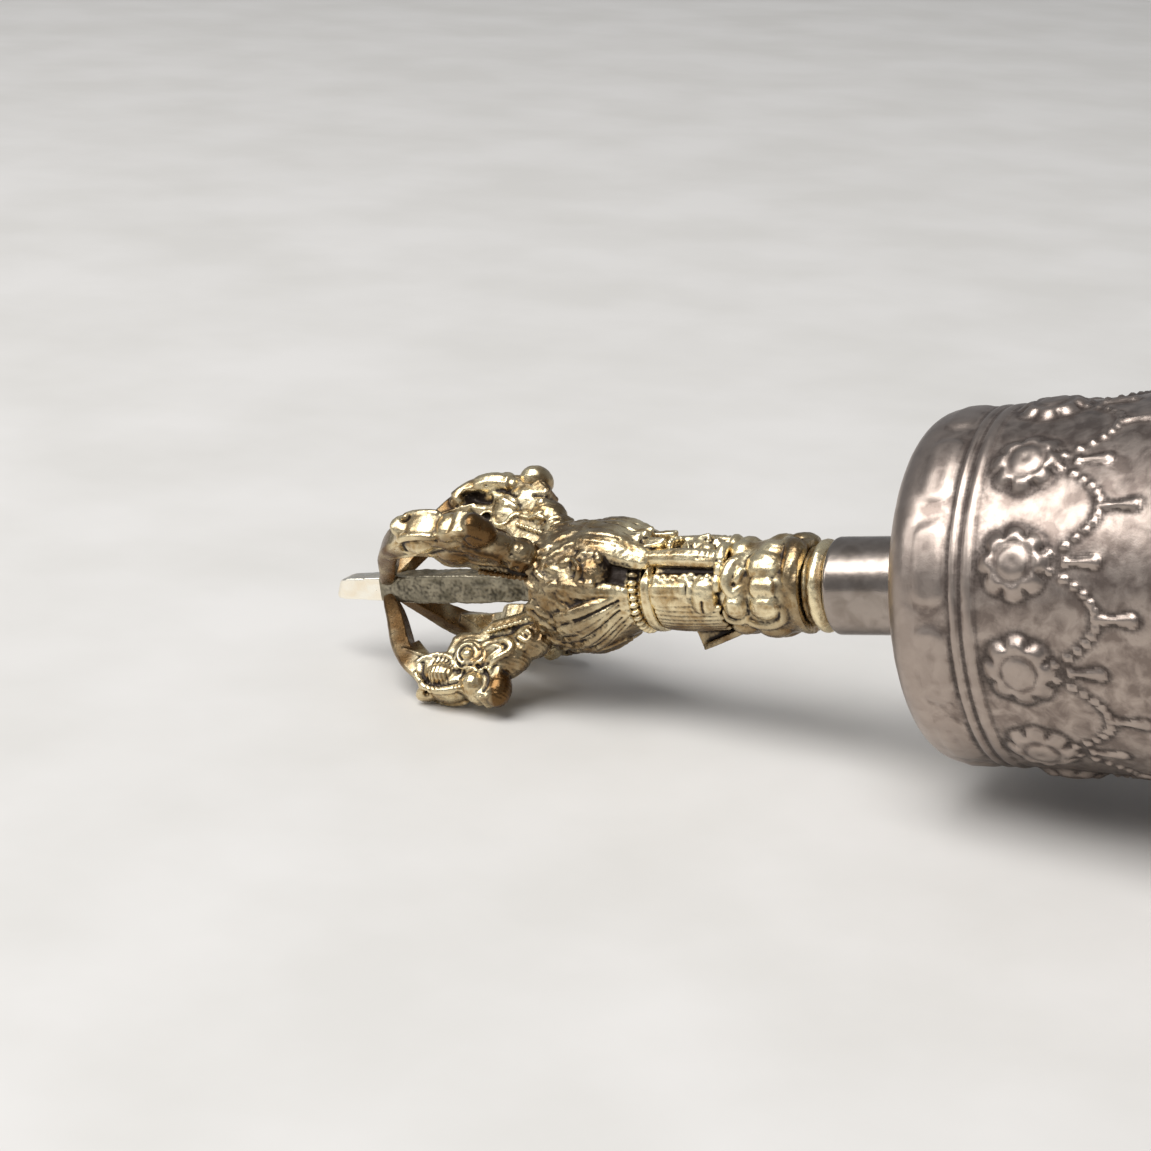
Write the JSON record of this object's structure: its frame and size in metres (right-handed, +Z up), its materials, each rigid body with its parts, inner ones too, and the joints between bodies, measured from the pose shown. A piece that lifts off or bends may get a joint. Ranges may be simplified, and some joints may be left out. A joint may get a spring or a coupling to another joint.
{
  "type": "tibetan hand bell",
  "caption": "Flared bronze hand bell with a brass handle that ends in a five-pronged vajra, and a loose hanging clapper, lying on its side.",
  "frame": {"origin": "middle of the bell's footprint, on the surface that it lies on", "axes": "+Z up, -X towards the tip of the handle, +X towards the mouth; the bell's own axis lies in the XZ plane with the tip down"},
  "size_m": [0.1952, 0.092, 0.0906],
  "materials": {
    "bell_bronze": "warm silver-brown bell bronze, satin, with low cast relief",
    "neck_bronze": "smooth polished silvery brown",
    "cast_brass": "hand-finished cast brass, bright on the high points and brown-black in the recesses",
    "rough_brass": "raw grey cast skin with a polished tip",
    "dark_iron": "dark forged iron, worn at the bulb"
  },
  "bodies": {
    "bell": {"bell_shell": "bell_bronze", "neck_sleeve": "neck_bronze", "foot_ring": "cast_brass", "handle_vase": "cast_brass", "goddess_head": "cast_brass", "collar_ring": "cast_brass", "bead_ring": "cast_brass", "lotus_hub": "cast_brass", "prong_upper_front": "cast_brass", "prong_upper_back": "cast_brass", "prong_lower_front": "cast_brass", "prong_lower_back": "cast_brass", "central_prong": "rough_brass", "hanger_rod": "dark_iron", "crown_washer": "dark_iron"},
    "link": {"clapper_link": "dark_iron"},
    "clapper": {"clapper_shank": "dark_iron", "clapper_bulb": "dark_iron"}
  },
  "joints": [
    {"name": "clapper_roll", "type": "hinge", "parent": "bell", "child": "link", "pos_m": [0.02937, 0, 0.03487], "axis": [0.9846, 0, 0.1746], "range_deg": [-45, 45]},
    {"name": "clapper_swing", "type": "hinge", "parent": "link", "child": "clapper", "pos_m": [0.03616, 0, 0.03608], "axis": [0, -1, 0], "range_deg": [0, 66.4]}
  ]
}
